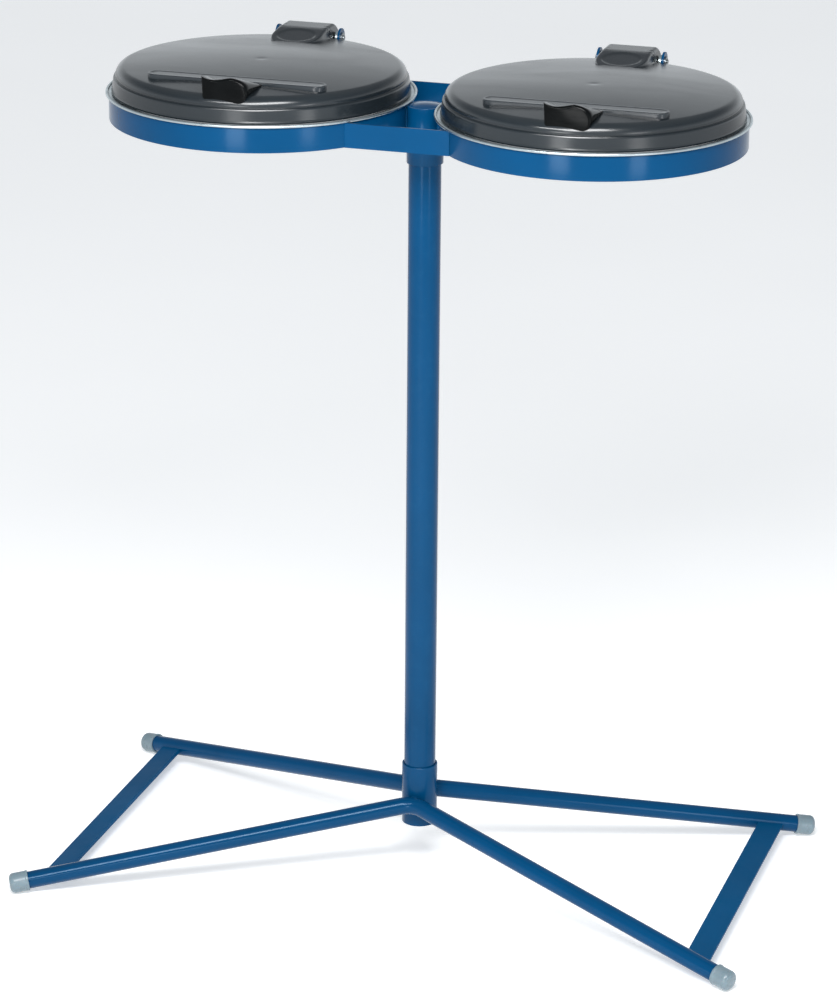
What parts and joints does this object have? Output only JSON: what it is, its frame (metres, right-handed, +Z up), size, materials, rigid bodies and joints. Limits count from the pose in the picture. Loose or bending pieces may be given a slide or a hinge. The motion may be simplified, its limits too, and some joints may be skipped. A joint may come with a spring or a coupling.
{
  "type": "refuse sack stand",
  "caption": "Free-standing double refuse-sack stand: splayed tube feet, pole, and two sack rings with clamp rings and hinged domed lids.",
  "frame": {"origin": "on the floor, under the pole's axis", "axes": "+Z up along the pole, +X along the line of the two sack rings, front (grip side) towards -Y, lid hinges towards +Y"},
  "size_m": [0.9386, 0.5114, 1.055],
  "materials": {
    "blue_powder_coat": "satin powder coat",
    "anthracite_lid": "semi-gloss moulded plastic",
    "black_grip": "gloss",
    "zinc_clamp_ring": "bright zinc plated",
    "zinc_hardware": "zinc plated",
    "grey_foot_cap": "matt"
  },
  "bodies": {
    "stand": {"base_sleeve": "blue_powder_coat", "base_floor_disc": "blue_powder_coat", "front_leg_tube": "blue_powder_coat", "rear_leg_tube": "blue_powder_coat", "left_strut": "blue_powder_coat", "right_strut": "blue_powder_coat", "front_left_foot_cap": "grey_foot_cap", "front_right_foot_cap": "grey_foot_cap", "rear_left_foot_cap": "grey_foot_cap", "rear_right_foot_cap": "grey_foot_cap", "pole": "blue_powder_coat", "base_set_screw": "zinc_hardware", "head_socket": "blue_powder_coat", "socket_set_screw": "zinc_hardware", "socket_cap": "blue_powder_coat", "front_plate": "blue_powder_coat", "rear_plate": "blue_powder_coat", "left_ring_band": "blue_powder_coat", "left_hinge_bracket": "blue_powder_coat", "left_hinge_pin": "zinc_hardware", "left_pin_clips": "zinc_hardware", "right_ring_band": "blue_powder_coat", "right_hinge_bracket": "blue_powder_coat", "right_hinge_pin": "zinc_hardware", "right_pin_clips": "zinc_hardware"},
    "left_clamp": {"left_clamp_ring": "zinc_clamp_ring"},
    "left_lid": {"left_lid_shell": "anthracite_lid", "left_lid_strip": "anthracite_lid", "left_lid_grip": "black_grip", "left_grip_screws": "zinc_hardware"},
    "right_clamp": {"right_clamp_ring": "zinc_clamp_ring"},
    "right_lid": {"right_lid_shell": "anthracite_lid", "right_lid_strip": "anthracite_lid", "right_lid_grip": "black_grip", "right_grip_screws": "zinc_hardware"}
  },
  "joints": [
    {"name": "left_clamp_hinge", "type": "hinge", "parent": "stand", "child": "left_clamp", "pos_m": [-0.2085, 0.188, 1.028], "axis": [-1, 0, 0], "range_deg": [0, 50]},
    {"name": "left_lid_hinge", "type": "hinge", "parent": "left_clamp", "child": "left_lid", "pos_m": [-0.2085, 0.188, 1.028], "axis": [-1, 0, 0], "range_deg": [0, 100]},
    {"name": "right_clamp_hinge", "type": "hinge", "parent": "stand", "child": "right_clamp", "pos_m": [0.2085, 0.188, 1.028], "axis": [-1, 0, 0], "range_deg": [0, 50]},
    {"name": "right_lid_hinge", "type": "hinge", "parent": "right_clamp", "child": "right_lid", "pos_m": [0.2085, 0.188, 1.028], "axis": [-1, 0, 0], "range_deg": [0, 100]}
  ]
}
